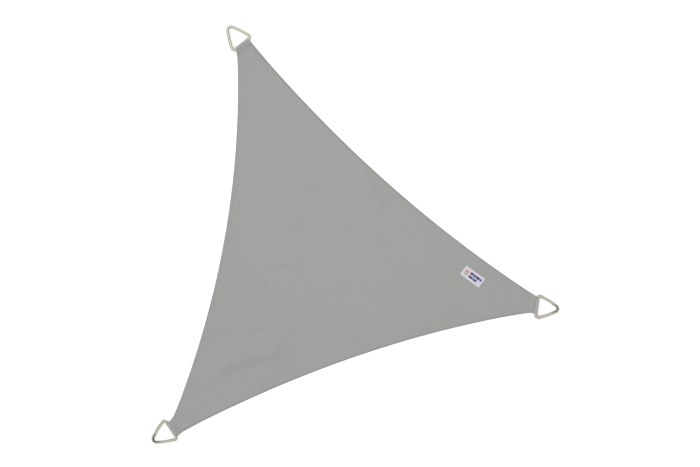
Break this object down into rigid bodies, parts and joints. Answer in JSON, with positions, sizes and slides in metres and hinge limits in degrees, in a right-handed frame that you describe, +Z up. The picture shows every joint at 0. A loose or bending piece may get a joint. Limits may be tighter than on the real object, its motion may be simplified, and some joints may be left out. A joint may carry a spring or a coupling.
{
  "type": "triangular shade sail laid flat",
  "caption": "Triangular shade sail of knitted cloth with inward-bowed hemmed edges and a rounded-triangle steel ring in a webbing loop at each corner, laid flat.",
  "frame": {"origin": "middle of the sail's bounding box, on the surface that it lies on", "axes": "+Z up, out of the face that shows; +X along the bottom edge from the left ring to the right ring; +Y towards the top corner"},
  "size_m": [1.9964, 1.7548, 0.0139],
  "materials": {
    "shade_cloth": "matt warm-grey knitted shade cloth, fine close knit, soft low folds",
    "webbing": "matt grey woven webbing",
    "stainless_steel": "polished stainless steel wire with a faint warm tint",
    "label_cloth": "smooth pale label cloth with plain bars of colour"
  },
  "bodies": {
    "root": {"sail_cloth": "shade_cloth", "corner_loop_top": "webbing", "corner_loop_right": "webbing", "corner_loop_left": "webbing", "ring_top": "stainless_steel", "ring_right": "stainless_steel", "ring_left": "stainless_steel", "label_patch": "label_cloth"}
  },
  "joints": []
}
